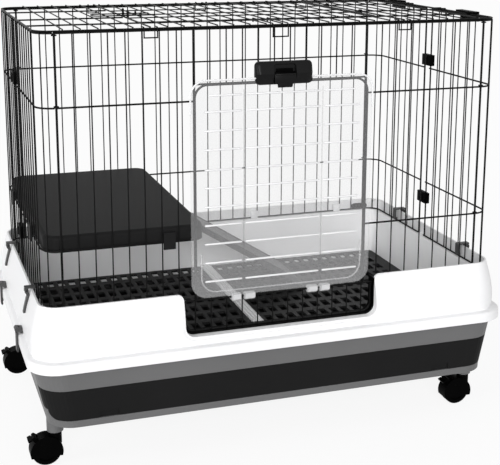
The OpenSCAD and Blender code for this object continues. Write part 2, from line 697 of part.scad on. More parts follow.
module rim_stem() {
    zs = [for (p = skin_pts) if (p[1] > foot_z + 11 && p[1] < lip_z - 3) p[1]];
    low = foot_z + 11;
    top = lip_z - 8;
    levels = concat([top], [for (z = zs) if (z < top) z], [low]);
    difference() {
        union() {
            slab(12) polygon(concat([for (z = levels) [skin(z), z]],
                [for (k = [len(levels) - 1:-1:0]) [skin(levels[k]) + 4, levels[k]]]));
            for (s = [-1, 1]) translate([0, s * 4.6, 0]) {
                translate([piv_u, 0, piv_z]) rotate([90, 0, 0]) cylinder(r = 3.2, h = 2.8, center = true);
                slab(2.8) polygon([[skin(top), top], [skin(top) + 4, top], [piv_u + 3.1, piv_z], [piv_u, piv_z],
                    [piv_u - 3.1, piv_z]]);
            }
        }
        translate([piv_u, 0, piv_z]) rotate([90, 0, 0]) cylinder(r = pin_r + run_fit, h = 20, center = true);
    }
}
module rim_clip_stems() color(dark_grey) {
    for (sx = [-1, 1]) for (y = clip_ys) at_side(sx, y) rim_stem();
}
// hook that swings up and over the lip; its toe holds the bottom wire down
module rim_clip() color(dark_grey) {
    leg_u = -lip_gap - hz_in - wire_h / 2 - pass_gap;
    roof = piv_z + 3.2 + pass_gap;
    translate([piv_u, 0, piv_z]) rotate([90, 0, 0]) {
        cylinder(r = 3.2, h = 5.8, center = true);
        cylinder(r = pin_r, h = 12, center = true);
    }
    slab(5.8) polygon([[piv_u - 2.5, piv_z + 1], [piv_u + 3, piv_z + 1], [piv_u + 3, roof + 2.5],
        [piv_u - 2.5, roof + 2.5]]);
    slab(10) polygon([[piv_u + 3, roof], [piv_u + 3, roof + 2.5], [leg_u - 1, roof + 2.5], [leg_u - 2.5, roof + 1],
        [leg_u - 2.5, bot_end + 3.4], [leg_u + 3, bot_end + 3.4], [leg_u + 3, bot_end + 5.4],
        [leg_u, bot_end + 5.4], [leg_u, roof]]);
}
module rim_clip_fl() at_side(-1, clip_ys[0]) rim_clip();
module rim_clip_fr() at_side(1, clip_ys[0]) rim_clip();
module rim_clip_bl() at_side(-1, clip_ys[1]) rim_clip();
module rim_clip_br() at_side(1, clip_ys[1]) rim_clip();

ring_u = ring_w / 2 - lip_hw;
lat_u = ring_u + pass_gap;
lat_piv = [lat_u + 1.5, ring_top + 8];
module base_latch_pivot() {
    top = lip_z - (lip_z - foot_z) * (steps - 1) / steps;
    difference() {
        union() {
        for (s = [-1, 1]) translate([0, s * 5.5, 0]) {
            translate([lat_piv[0], 0, lat_piv[1]]) rotate([90, 0, 0]) cylinder(r = 3.4, h = 3, center = true);
            slab(3) polygon([[skin(top), top], [skin(foot_z + 2), foot_z + 2], [lat_piv[0], foot_z + 4.7],
                [lat_piv[0], lat_piv[1] + 3.3]]);
        }
        slab(14) polygon([[skin(top), top], [skin(foot_z + 2), foot_z + 2], [flare + 4.5, foot_z + 2],
            [flare + 4.5, top]]);
        }
        translate([lat_piv[0], 0, lat_piv[1]]) rotate([90, 0, 0])
            cylinder(r = pin_r + run_fit, h = 20, center = true);
    }
}
module base_latch_pivots() color(dark_grey) {
    for (sx = [-1, 1]) for (y = latch_ys) at_side(sx, y) base_latch_pivot();
}
// lever that turns out; its nib reaches in under the ring
module base_latch() color(dark_grey) {
    translate([lat_piv[0], 0, lat_piv[1]]) rotate([90, 0, 0]) {
        cylinder(r = 3.4, h = 7.4, center = true);
        cylinder(r = pin_r, h = 14, center = true);
    }
    slab(7.4) polygon([[lat_u, ring_top + 2], [lat_u + 3, ring_top + 2], [lat_u + 4.6, lat_piv[1]],
        [lat_u + 0.1, lat_piv[1]]]);
    slab(14) polygon([[lat_u, ring_z - 0.3], [lat_u, ring_top + 3], [lat_u + 3, ring_top + 3],
        [lat_u + 3, ring_z - 12], [lat_u + 1, ring_z - 14], [lat_u - 0.5, ring_z - 12],
        [lat_u - 0.5, ring_z - 6], [lat_u - 5, ring_z - 3], [lat_u - 5, ring_z - 0.3]]);
}
module base_latch_fl() at_side(-1, latch_ys[0]) base_latch();
module base_latch_fr() at_side(1, latch_ys[0]) base_latch();
module base_latch_bl() at_side(-1, latch_ys[1]) base_latch();
module base_latch_br() at_side(1, latch_ys[1]) base_latch();

// ---- platform and ramp ----
plat_y0 = -hd + hz_in + wire_h / 2 + 2;
plat_w = plat_x1 - plat_x0;
plat_d = plat_y1 - plat_y0;
plat_bot = plat_z - plat_h;
wire_top = lower_z + wire_h / 2;
ramp_px = plat_x1 + 6;
pivot_r = 3;
// hook from the platform's skirt over the lower wire, w wide, skirt at y = 0, wire towards -Y
module wire_hook(w, gap) {
    slab_y = gap + wire_h + pass_gap;
    translate([-w / 2, -slab_y - 3, wire_top]) cube([w, slab_y + 4, 13]);
    translate([-w / 2, -slab_y - 3, wire_top - 13]) cube([w, 3, 14]);
}
module platform() color(black) {
    ym = (plat_y0 + plat_y1) / 2;
    xm = (plat_x0 + plat_x1) / 2;
    translate([xm, ym, plat_bot]) sweep(plat_w / 2, plat_d / 2, plat_r)
        polygon([[-2.5, 0], [0, 0], [0, plat_h - 6], [-0.8, plat_h - 3], [-3, plat_h - 0.8], [-6, plat_h],
            [-13, plat_h], [-13, plat_h - 3], [-6, plat_h - 3], [-2.5, plat_h - 6.5]]);
    translate([xm, ym, plat_z - 3]) linear_extrude(height = 3) round_rect(plat_w - 24, plat_d - 24, plat_r - 12);
    translate([-7 * pitch - 1.7, plat_y0, 0]) wire_hook(18.6, plat_y0 + hd - hz_in - wire_h / 2);
    for (y = [joint_f - 4.5 * pitch, joint_b + 3.5 * pitch]) translate([plat_x0, y, 0]) rotate(-90)
        wire_hook(18.6, plat_x0 + hw - hz_in - wire_h / 2);
    // lugs for the ramp's pivot
    for (y = [ramp_y0 - pass_gap - 4, ramp_y0 + ramp_w + pass_gap + 4]) difference() {
        union() {
            translate([ramp_px, y, ramp_pz]) rotate([90, 0, 0]) cylinder(r = 6, h = 8, center = true);
            translate([plat_x1 - 1, y - 4, ramp_pz]) cube([7, 8, plat_bot + 12 - ramp_pz]);
        }
        translate([ramp_px, y, ramp_pz]) rotate([90, 0, 0])
            cylinder(r = pivot_r + run_fit, h = 10, center = true);
    }
}

// slope such that the ramp's end rests on the floor
ramp_len = 301;
ramp_fall = asin((ramp_pz - floor_z - pass_gap - ramp_t / 2 * 0.845) / ramp_len);
module ramp() color(dark_grey) {
    translate([ramp_px, ramp_y0 + ramp_w / 2, ramp_pz]) rotate([0, ramp_fall, 0]) {
        rotate([90, 0, 0]) cylinder(d = ramp_t, h = ramp_w, center = true);
        rotate([90, 0, 0]) cylinder(r = pivot_r, h = ramp_w + 16, center = true);
        for (s = [-1, 1]) translate([0, s * (ramp_w / 2 - 1.5) - 1.5, -ramp_t / 2]) cube([ramp_len, 3, ramp_t]);
        translate([0, -ramp_w / 2, ramp_t / 2 - 4]) cube([ramp_len, ramp_w, 3]);
        for (k = [1:6]) translate([k * ramp_len / 6 - 3, -ramp_w / 2, -ramp_t / 2]) cube([3, ramp_w, ramp_t - 1]);
    }
}

// ---- casters ----
hood_r = wheel_r + 2.5;
hood_w = wheel_w + 7;
boss_top = sock_z - 2.5;
ped = [-trail - 18.2, wheel_r + 23.1];
module caster_hood() color(black) difference() {
    union() {
        intersection() {
            translate([-trail, 0, wheel_r]) rotate([90, 0, 0]) cylinder(r = hood_r, h = hood_w, center = true);
            translate([-60, -20, 15]) cube([80, 40, 60]);
        }
        translate([0, 0, wheel_r + 10]) cylinder(r = 10, h = boss_top - wheel_r - 10);
        translate([-trail, 0, wheel_r]) rotate([90, 0, 0]) cylinder(r = 8, h = hood_w, center = true);
        for (s = [-1, 1]) translate([ped[0], s * 7.2, ped[1]]) rotate([90, 0, 0]) hull() {
            cylinder(r = 3.4, h = 3, center = true);
            translate([8, -7, 0]) cylinder(r = 4, h = 3, center = true);
        }
    }
    translate([-trail, 0, wheel_r]) rotate([90, 0, 0]) {
        cylinder(r = wheel_r + 1, h = wheel_w + 1.6, center = true);
        cylinder(r = axle_r + run_fit, h = 60, center = true);
    }
    translate([0, 0, wheel_r + 10]) cylinder(r = stem_r + run_fit, h = 60);
    translate([ped[0], 0, ped[1]]) rotate([90, 0, 0]) cylinder(r = pin_r + run_fit, h = 30, center = true);
}
module caster_stem() color(grey) {
    translate([0, 0, wheel_r + 22]) cylinder(r = stem_r, h = sock_z + 21 - wheel_r - 22);
    translate([0, 0, boss_top]) cylinder(r = 8, h = sock_z - pass_gap - boss_top);
}
module caster_axle() color(grey) translate([-trail, 0, wheel_r]) rotate([90, 0, 0])
    cylinder(r = axle_r, h = hood_w, center = true);
module caster_wheel() color(black) translate([-trail, 0, wheel_r]) rotate([90, 0, 0]) difference() {
    rotate_extrude() {
        w = wheel_w / 2;
        polygon([[0, -w], [8, -w], [9, -w + 2], [15, -w + 2], [16, -w], [wheel_r - 1.5, -w],
            [wheel_r, -w + 1.5], [wheel_r, w - 1.5], [wheel_r - 1.5, w], [16, w], [15, w - 2], [9, w - 2],
            [8, w], [0, w]]);
    }
    cylinder(r = axle_r + run_fit, h = 60, center = true);
}
module caster_brake() color(black) translate([ped[0], 0, ped[1]]) {
    rotate([90, 0, 0]) cylinder(r = 3.2, h = 10.8, center = true);
    rotate([90, 0, 0]) cylinder(r = pin_r, h = 17, center = true);
    rotate([0, -22, 0]) translate([-10.3, -9, -1.2]) cube([6.2, 18, 2.8]);
    rotate([0, -22, 0]) translate([-5, -5.2, -1.2]) cube([5, 10.4, 2.8]);
}
module at_caster(x, y) { translate([x * caster_x, y * caster_y, 0]) children(); }
module caster_fl_hood() at_caster(-1, -1) caster_hood();
module caster_fl_stem() at_caster(-1, -1) caster_stem();
module caster_fl_axle() at_caster(-1, -1) caster_axle();
module caster_fl_wheel() at_caster(-1, -1) caster_wheel();
module caster_fl_brake() at_caster(-1, -1) caster_brake();
module caster_fr_hood() at_caster(1, -1) caster_hood();
module caster_fr_stem() at_caster(1, -1) caster_stem();
module caster_fr_axle() at_caster(1, -1) caster_axle();
module caster_fr_wheel() at_caster(1, -1) caster_wheel();
module caster_fr_brake() at_caster(1, -1) caster_brake();
module caster_bl_hood() at_caster(-1, 1) caster_hood();
module caster_bl_stem() at_caster(-1, 1) caster_stem();
module caster_bl_axle() at_caster(-1, 1) caster_axle();
module caster_bl_wheel() at_caster(-1, 1) caster_wheel();
module caster_bl_brake() at_caster(-1, 1) caster_brake();
module caster_br_hood() at_caster(1, 1) caster_hood();
module caster_br_stem() at_caster(1, 1) caster_stem();
module caster_br_axle() at_caster(1, 1) caster_axle();
module caster_br_wheel() at_caster(1, 1) caster_wheel();
module caster_br_brake() at_caster(1, 1) caster_brake();

front_panel();
back_panel();
corner_panel_fl();
corner_panel_fr();
corner_panel_bl();
corner_panel_br();
top_panel();
top_door();
top_front_latch();
top_slide_bolt();
top_edge_clips();
side_clip_lu();
side_clip_ll();
side_clip_ru();
side_clip_rl();
door_panel();
door_hinges();
latch_body();
latch_button();
tub();
floor_grid_left();
floor_grid_right();
floor_divider();
ring();
base();
drawer_front();
drawer_pan();
rim_clip_stems();
rim_clip_fl();
rim_clip_fr();
rim_clip_bl();
rim_clip_br();
base_latch_pivots();
base_latch_fl();
base_latch_fr();
base_latch_bl();
base_latch_br();
platform();
ramp();
caster_fl_hood();
caster_fl_stem();
caster_fl_axle();
caster_fl_wheel();
caster_fl_brake();
caster_fr_hood();
caster_fr_stem();
caster_fr_axle();
caster_fr_wheel();
caster_fr_brake();
caster_bl_hood();
caster_bl_stem();
caster_bl_axle();
caster_bl_wheel();
caster_bl_brake();
caster_br_hood();
caster_br_stem();
caster_br_axle();
caster_br_wheel();
caster_br_brake();
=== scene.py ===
"""Looks of a wire ferret cage: camera, light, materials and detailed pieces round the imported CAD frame."""

import math

import bmesh
import bpy
from mathutils import Matrix, Vector


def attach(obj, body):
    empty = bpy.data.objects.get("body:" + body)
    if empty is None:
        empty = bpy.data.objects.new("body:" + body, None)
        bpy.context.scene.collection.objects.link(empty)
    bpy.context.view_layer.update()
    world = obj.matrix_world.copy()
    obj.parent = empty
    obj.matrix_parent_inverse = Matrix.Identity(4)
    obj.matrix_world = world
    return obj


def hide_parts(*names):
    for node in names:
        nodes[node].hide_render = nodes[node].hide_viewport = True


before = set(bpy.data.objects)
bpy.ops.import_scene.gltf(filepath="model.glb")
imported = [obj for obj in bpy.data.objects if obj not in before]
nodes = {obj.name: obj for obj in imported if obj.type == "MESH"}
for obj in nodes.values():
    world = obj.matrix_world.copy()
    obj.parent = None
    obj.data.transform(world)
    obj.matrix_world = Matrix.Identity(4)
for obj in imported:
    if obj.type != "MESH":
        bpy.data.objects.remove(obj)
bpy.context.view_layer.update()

# ---- camera, fitted to the shell's wires; metres and radians ----
IMAGE_W = 500
FOCAL_PX = 1096.7
SENSOR_MM = 36
YAW, PITCH, ROLL = 0.32339, 0.21631, 0.00242
EYE = (-0.5715, -1.7764, 0.8306)
SHIFT_Y = -0.145
NEAR, FAR = 0.05, 200

cam_data = bpy.data.cameras.new("camera")
cam_data.sensor_fit = "AUTO"
cam_data.sensor_width = SENSOR_MM
cam_data.lens = FOCAL_PX / IMAGE_W * SENSOR_MM
cam_data.shift_y = SHIFT_Y
cam_data.clip_start, cam_data.clip_end = NEAR, FAR
cam = bpy.data.objects.new("camera", cam_data)
bpy.context.scene.collection.objects.link(cam)
cam.matrix_world = (
    Matrix.Translation(EYE)
    @ Matrix.Rotation(-YAW, 4, "Z")
    @ Matrix.Rotation(math.pi / 2 - PITCH, 4, "X")
    @ Matrix.Rotation(ROLL, 4, "Z")
)
bpy.context.scene.camera = cam

# ---- materials ----
BLUE = 1.01  # blue over red and green in every grey
NOISE_LOW, NOISE_HIGH = 0.3, 0.7  # the part of a noise that is spread over a roughness
BUMP_STRENGTH = 0.5
SLOW_DETAIL, FINE_DETAIL = 3.0, 2.0
STREAK_STRETCH = (1, 1, 6)
MIX_FACTOR, MIX_A, MIX_B, MIX_RESULT = 0, 6, 7, 2  # a colour Mix node's sockets
HAZE_Z, HAZE_ALPHA = (0.27, 0.40), (0.2, 0.11)  # metres above the floor, and the alpha there


class Nodes:
    """A short way to make and join a material's shader nodes."""

    def __init__(self, name):
        self.mat = bpy.data.materials.new(name)
        self.mat.use_nodes = True
        self.tree = self.mat.node_tree
        self.tree.nodes.clear()
        self.out = self.tree.nodes.new("ShaderNodeOutputMaterial")
        self.coord = self.tree.nodes.new("ShaderNodeTexCoord").outputs["Object"]

    def new(self, kind, **inputs):
        n = self.tree.nodes.new("ShaderNode" + kind)
        for key, value in inputs.items():
            self.put(n.inputs[key.replace("_", " ")], value)
        return n

    def put(self, socket, value):
        if isinstance(value, bpy.types.NodeSocket):
            self.tree.links.new(value, socket)
        else:
            socket.default_value = value

    def noise(self, scale, detail=FINE_DETAIL, stretch=None):
        coord = self.coord
        if stretch:
            m = self.new("Mapping", Vector=coord)
            m.inputs["Scale"].default_value = stretch
            coord = m.outputs["Vector"]
        n = self.new("TexNoise", Vector=coord, Scale=scale, Detail=detail)
        return n.outputs["Fac"]

    def spread(self, value, source, target):
        n = self.new("MapRange", Value=value)
        for key, number in zip(("From Min", "From Max", "To Min", "To Max"), (*source, *target)):
            n.inputs[key].default_value = number
        return n.outputs["Result"]

    def shade(self, value, greys):
        n = self.new("Mix")
        n.data_type = "RGBA"
        self.put(n.inputs[MIX_FACTOR], value)
        for socket, v in zip((MIX_A, MIX_B), greys):
            n.inputs[socket].default_value = (v, v, v * BLUE, 1)
        return n.outputs[MIX_RESULT]

    def bump(self, height, distance):
        n = self.new("Bump", Height=height)
        n.inputs["Strength"].default_value = BUMP_STRENGTH
        n.inputs["Distance"].default_value = distance
        return n.outputs["Normal"]

    def surface(self, colour, greys, relief, rough, depth):
        """A Principled shader whose colour follows one noise, and roughness and relief another."""
        p = self.new("BsdfPrincipled")
        self.put(p.inputs["Base Color"], self.shade(colour, greys))
        self.put(p.inputs["Roughness"], self.spread(relief, (NOISE_LOW, NOISE_HIGH), rough))
        self.put(p.inputs["Normal"], self.bump(relief, depth))
        self.put(self.out.inputs["Surface"], p.outputs[0])
        return p


def plastic(name, greys, rough, grain, depth, mottle, alpha=1.0, spec=0.5, hazed=False):
    """Moulded plastic: slow mottling of colour, a fine grain in roughness and relief.

    Where it is hazed, the alpha grows towards the lower edge of the sheet.
    """
    b = Nodes(name)
    p = b.surface(b.noise(mottle, SLOW_DETAIL), greys, b.noise(grain), rough, depth)
    p.inputs["Specular IOR Level"].default_value = spec
    p.inputs["Alpha"].default_value = alpha
    if hazed:
        height = b.new("SeparateXYZ", Vector=b.coord).outputs["Z"]
        b.put(p.inputs["Alpha"], b.spread(height, HAZE_Z, HAZE_ALPHA))
    return b.mat


def metal(name, greys, rough, grain, depth):
    """Zinc-plated steel, with streaks along the turning."""
    b = Nodes(name)
    streak = b.noise(grain, SLOW_DETAIL, STREAK_STRETCH)
    b.surface(streak, greys, streak, rough, depth).inputs["Metallic"].default_value = 1.0
    return b.mat


# name, darkest and lightest grey, roughness, grain per metre, relief in metres, mottling per metre
wire = plastic("wire_coat", (0.0015, 0.003), (0.38, 0.55), 900, 0.00008, 40, spec=0.1)
white = plastic("white_plastic", (0.83, 0.88), (0.34, 0.46), 1400, 0.00004, 6)
base_grey = plastic("grey_plastic", (0.108, 0.13), (0.42, 0.58), 1100, 0.00007, 7, spec=0.35)
clip_grey = plastic("dark_grey_plastic", (0.04, 0.055), (0.4, 0.55), 1500, 0.00005, 20, spec=0.3)
black = plastic("black_plastic", (0.011, 0.015), (0.4, 0.56), 1000, 0.00009, 8, spec=0.02)
grid_black = plastic("grid_plastic", (0.016, 0.022), (0.42, 0.58), 1000, 0.00009, 12, spec=0.1)
# a very dark black: the real colour of the casters, clips and side latches, and painted shade in the latch's
# recess
jet_and_shade = plastic("jet_and_shade_plastic", (0.0008, 0.0018), (0.32, 0.48), 1300, 0.00005, 25, spec=0.012)
latch_black = plastic("latch_plastic", (0.0035, 0.0055), (0.3, 0.42), 1300, 0.00005, 25, spec=0.12)
ramp_grey = plastic("ramp_plastic", (0.05, 0.065), (0.45, 0.6), 1200, 0.00007, 9, spec=0.3)
# a bright, nearly white clear plastic that paints highlights: the glint along the door's top edge and the
# bright lines on its moulded ribs
highlight_white = plastic("highlight_white_plastic", (0.93, 0.98), (0.1, 0.18), 700, 0.00003, 12, alpha=0.7)
# a lighter, less clear plastic: the painted highlight of the door's raised inner border
border_glint = plastic("border_glint_plastic", (0.7, 0.78), (0.12, 0.2), 700, 0.00003, 12, alpha=0.3)
# a darker clear plastic: the painted shade of the door's upright ribs
upright_shade = plastic("upright_shade_plastic", (0.2, 0.26), (0.2, 0.3), 700, 0.00003, 12, alpha=0.12)
milky = plastic("milky_plastic", (0.72, 0.84), (0.06, 0.14), 900, 0.00003, 60, alpha=0.55)
clear = plastic("clear_plastic", (0.56, 0.64), (0.12, 0.2), 700, 0.00002, 5, hazed=True)
steel = metal("zinc_steel", (0.42, 0.55), (0.28, 0.42), 500, 0.00003)

# the first row that fits a node's name gives its finish
FINISH = [
    ("caster_", "_stem", steel),
    ("caster_", "", jet_and_shade),
    ("rim_clip", "", clip_grey),
    ("base_latch", "", clip_grey),
    ("side_clip", "", jet_and_shade),
    ("latch_", "", latch_black),
    ("top_edge_clips", "", jet_and_shade),
    ("door_panel", "", clear),
    ("door_hinges", "", milky),
    ("floor_divider", "", white),
    ("tub", "", white),
    ("ring", "", white),
    ("base", "", base_grey),
    ("drawer_pan", "", black),
    ("drawer_front", "", black),
    ("floor_grid", "", grid_black),
    ("platform", "", black),
    ("ramp", "", ramp_grey),
    ("", "", wire),
]
for name, obj in nodes.items():
    finish = next(m for start, end, m in FINISH if name.startswith(start) and name.endswith(end))
    for slot in obj.material_slots:
        slot.material = finish

# ---- shapes, in millimetres of the cage's own frame ----
MM = 0.001
BEVEL_FROM = 0.7  # radians between two faces, from which their edge is bevelled
SOFT_TIP = 0.55  # a soft end's radius, as a share of the bar's


def piece(name, body, material, shapes, stands_for=(), bevel=0.0, sharp=35):
    """One object from (points, faces) shapes; it rides on a body and may stand for CAD nodes."""
    points, faces = [], []
    for pts, fcs in shapes:
        faces += [tuple(i + len(points) for i in f) for f in fcs]
        points += [tuple(c * MM for c in p) for p in pts]
    mesh = bpy.data.meshes.new(name)
    mesh.from_pydata(points, [], faces)
    bm = bmesh.new()
    bm.from_mesh(mesh)
    bmesh.ops.recalc_face_normals(bm, faces=bm.faces)
    if bevel:
        edges = [e for e in bm.edges if len(e.link_faces) == 2 and e.calc_face_angle() > BEVEL_FROM]
        bmesh.ops.bevel(bm, geom=edges, offset=bevel * MM, segments=2, profile=0.5, affect="EDGES")
    for f in bm.faces:
        f.smooth = True
    for e in bm.edges:
        e.smooth = len(e.link_faces) == 2 and e.calc_face_angle() < math.radians(sharp)
    bm.to_mesh(mesh)
    bm.free()
    mesh.materials.append(material)
    obj = bpy.data.objects.new(name, mesh)
    bpy.context.scene.collection.objects.link(obj)
    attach(obj, body)
    if stands_for:
        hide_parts(*stands_for)
    return obj


def rings(rows, closed=False):
    """Faces between rows of points that go round; the ends are capped unless they join."""
    n, m = len(rows[0]), len(rows)
    faces = []
    for i in range(m if closed else m - 1):
        a, b = i * n, ((i + 1) % m) * n
        faces += [(a + k, a + (k + 1) % n, b + (k + 1) % n, b + k) for k in range(n)]
    if not closed:
        faces += [tuple(range(n)), tuple(range((m - 1) * n, m * n))]
    return [p for row in rows for p in row], faces


def rounded(points, radius, closed=False, steps=8):
    """A polyline whose corners are turned on a radius."""
    out = []
    for i, p in enumerate(points):
        p = Vector(p)
        if not closed and i in (0, len(points) - 1):
            out.append(p)
            continue
        a, b = Vector(points[i - 1]) - p, Vector(points[(i + 1) % len(points)]) - p
        ua, ub = a.normalized(), b.normalized()
        half = ua.angle(ub) / 2
        cut = min(radius / math.tan(half), a.length / 2, b.length / 2)
        r = cut * math.tan(half)
        c = p + (ua + ub).normalized() * (r / math.sin(half))
        s, e = p + ua * cut - c, p + ub * cut - c
        w = s.angle(e)
        for k in range(steps + 1):
            t = k / steps
            out.append(c + (s * math.sin((1 - t) * w) + e * math.sin(t * w)) / math.sin(w))
    return out


def tube(path, radius, sides=10, soft=0.0):
    """A round bar along an open path; its ends are tapered over the soft length."""
    path = [Vector(p) for p in path]
    radii = [radius] * len(path)
    if soft:
        head, tail = (path[1] - path[0]).normalized(), (path[-2] - path[-1]).normalized()
        path = [path[0], path[0] + head * soft] + path[1:-1] + [path[-1] + tail * soft, path[-1]]
        radii = [radius * SOFT_TIP, radius] + radii[1:-1] + [radius, radius * SOFT_TIP]
    last = len(path) - 1
    ways = [(path[min(i + 1, last)] - path[max(i - 1, 0)]).normalized() for i in range(last + 1)]
    side = ways[0].orthogonal().normalized()
    rows = []
    for i, way in enumerate(ways):
        side = (side - way * side.dot(way)).normalized()
        up = way.cross(side)
        turns = [2 * math.pi * k / sides for k in range(sides)]
        rows.append([
            path[i] + side * (math.cos(t) * radii[i]) + up * (math.sin(t) * radii[i]) for t in turns
        ])
    return rings(rows)


def box(x0, x1, y0, y1, z0, z1):
    """A block as two rings of four points."""
    row = [(x0, y0), (x1, y0), (x1, y1), (x0, y1)]
    return rings([[(x, y, z) for x, y in row] for z in (z0, z1)])


def u_line(half, y, corner, end):
    """Three sides of a rectangle that faces the front: its corners' level and its open ends' level."""
    return [(-half, y, end), (-half, y, corner), (half, y, corner), (half, y, end)]


def slab(half, low, high, radius, y0, y1):
    """A flat sheet with round corners, facing the front, between two depths."""
    corners = [(-half, 0, low), (half, 0, low), (half, 0, high), (-half, 0, high)]
    outline = rounded(corners, radius, closed=True)
    return rings([[(p.x, y, p.z) for p in outline] for y in (y0, y1)])


# the wire that frames the door opening, behind the door
OPEN_X0, OPEN_X1, OPEN_Y, OPEN_Z0, OPEN_Z1 = -139, 140.8, -226.9, 256.5, 590
opening = [(x, OPEN_Y, z) for x, z in
           ((OPEN_X0, OPEN_Z0), (OPEN_X0, OPEN_Z1), (OPEN_X1, OPEN_Z1), (OPEN_X1, OPEN_Z0))]
piece("opening_frame", "cage", wire, [tube(rounded(opening, 20), 1.8, 12)])

# a dark strip, 1.6 mm thick, laid over the sides and floor of the tub's cut-out
EDGE_Y0, EDGE_Y1, EDGE_TOP = -230.6, -210.8, 262
against_tub = rounded(u_line(160.2, 0, 201.9, EDGE_TOP), 16)
facing_in = rounded(u_line(158.6, 0, 203.5, EDGE_TOP), 14.4)
strip = [
    [(p.x, EDGE_Y0, p.z), (q.x, EDGE_Y0, q.z), (q.x, EDGE_Y1, q.z), (p.x, EDGE_Y1, p.z)]
    for p, q in zip(against_tub, facing_in)
]
piece("cut_dark_strip", "cage", jet_and_shade, [rings(strip)])

# ---- front door: a clear sheet with moulded ribs, with painted highlights and shade on its edge, ribs, border and uprights ----
FACE, BACK = -233.0, -229.0
DOOR = (147.4, 259.6, 597.4, 24.4)  # half width, lower and upper edge, corner radius
EDGE_GLINT, BORDER = (147.2, FACE + 1, 597.2, 545), (131.7, FACE, 268.5, 330)  # half width, y, corners, ends
LINE_R = 24  # corner radius of the edge glint and the border
RIB_GAPS, RIB_END, TOP_RIB_END = (61, 66.5), 126, 118  # both sides of an upright, and the outer ends
RIB_Y, RIB_R, RIB_TIP = FACE + 0.8, 1.6, 1.6
RIB_Z = (285.5, 315, 345, 374.5, 403.5, 433, 461, 492, 521, 550)
TOP_RIB_Z, TOP_RIB_R = 574.5, 1.5
UPRIGHT_X, UPRIGHT_Y, UPRIGHT_Z = 63.8, FACE + 0.4, (271, 582)

piece("door_sheet", "front_door", clear, [slab(*DOOR, FACE, BACK)],
      ["door_panel"], bevel=0.6)
# a white strip over the door's top edge and upper corners: a painted highlight, the glint of the edge
edge_glint = rounded(u_line(*EDGE_GLINT), LINE_R, steps=10)
piece("door_edge_glint", "front_door", highlight_white, [tube(edge_glint, 1.5, 12, soft=4)])
# the raised inner border is real; its lighter, more opaque colour is a painted highlight
border = rounded(u_line(*BORDER), LINE_R, steps=10)
piece("door_border", "front_door", border_glint, [tube(border, 1.2, soft=3)])


def rib_row(z, end, radius):
    """Three ribs at a level: a long one between the uprights and one on each side of it."""
    near, far = RIB_GAPS
    return [tube([(a, RIB_Y, z), (b, RIB_Y, z)], radius, soft=RIB_TIP)
            for a, b in ((-end, -far), (-near, near), (far, end))]


# the moulded ribs are real; their near-white colour is a painted highlight
ribs = [rib for z in RIB_Z for rib in rib_row(z, RIB_END, RIB_R)]
ribs += rib_row(TOP_RIB_Z, TOP_RIB_END, TOP_RIB_R)
piece("door_ribs", "front_door", highlight_white, ribs)
# the upright ribs, drawn as faint darker lines: painted shade
uprights = [tube([(x, UPRIGHT_Y, z) for z in UPRIGHT_Z], 1.1, 8, soft=2) for x in (-UPRIGHT_X, UPRIGHT_X)]
piece("door_uprights", "front_door", upright_shade, uprights)

HINGE_Y, HINGE_Z = -224, 254  # the wire that the clips turn on
HINGE_BORE, HINGE_R = 1.46, 6.5
HINGE_TONGUE = ((-228.5, 250.5), (-231.5, 251.5), (-232.8, 260.2), (-229.2, 260.2))
HINGE_CLIPS = ((-81.5, -66), (-61.5, -43), (44.5, 62), (66, 83))
HINGE_STEP = 15  # degrees between the points round a sleeve


def hinge_clip(x0, x1):
    """A moulded clip: a rounded sleeve on the wire, with a tongue to the door's edge."""
    half = [(x0, HINGE_BORE), (x0, HINGE_R - 2.2), (x0 + 0.7, HINGE_R - 0.7), (x0 + 2.4, HINGE_R)]
    middle = [((x0 + x1) / 2, HINGE_R - 0.25)]
    other = [(x1 - 2.4, HINGE_R), (x1 - 0.7, HINGE_R - 0.7), (x1, HINGE_R - 2.2), (x1, HINGE_BORE)]
    turns = [math.radians(a) for a in range(0, 360, HINGE_STEP)]
    rows = [[(x, HINGE_Y + math.cos(t) * r, HINGE_Z + math.sin(t) * r) for t in turns]
            for x, r in half + middle + other]
    tongue = [[(x, y, z) for y, z in HINGE_TONGUE] for x in (x0 + 1.5, x1 - 1.5)]
    return [rings(rows, closed=True), rings(tongue)]


piece("hinge_clips", "front_door", milky, [s for ends in HINGE_CLIPS for s in hinge_clip(*ends)],
      ["door_hinges"])

# ---- the latch: a crowned housing with a recess, and its slider ----
LATCH_Z0, LATCH_Z1, LATCH_HALF, LATCH_R = 587.0, 622.0, 46.0, 7.0
LATCH_BACK, DOOR_SIDE, DOOR_TOP = -227, -233.4, 598.5  # its back stands over the door up to that height
CROWN_EDGE, CROWN_RISE, CROWN_PEAK, CROWN_POWER = 6.0, 7.0, 0.47, 0.8
END_RUN, END_SHARE = 8.0, 0.35  # the crown falls to that share over the last run of each end
RECESS_HALF, RECESS_Z0, RECESS_Z1, RECESS_R, RECESS_FLOOR = 17.3, 588, 617.5, 4, 6.4
COLUMNS, ROWS, MARGIN = 93, 36, 0.02
POST_X, POST_HALF = 34, 4
# blocks, as x0, x1, y0, y1, z0, z1
SLIDER_FACE = (-17, 17, -239.6, -236.2, 588.4, 602.8)
SLIDER_NECK = (-12, 12, -239.4, -236.3, 586, 589)
# blocks at the back of the slider's recess and behind the hole in the housing, jet-black: painted shade, so
# the recess looks black
RECESS_SHADE = ((-16.8, 16.8, -236.2, -233.7, 588.6, 606), (-13, 13, -236.2, -233.7, 606, 611),
        (-6, 6, -226.9, -225.9, 602, 609))
RIDGE = ((-16.8, -239.6, 602.6), (16.8, -239.6, 602.6))
GRIP = ((-236.3, 586.5, 12), (-239.6, 586, 12), (-239.2, 583.2, 11.4), (-237, 582.2, 11.2),
        (-236.3, 582.6, 11.2))  # depth, height and half width of the thumb's tab


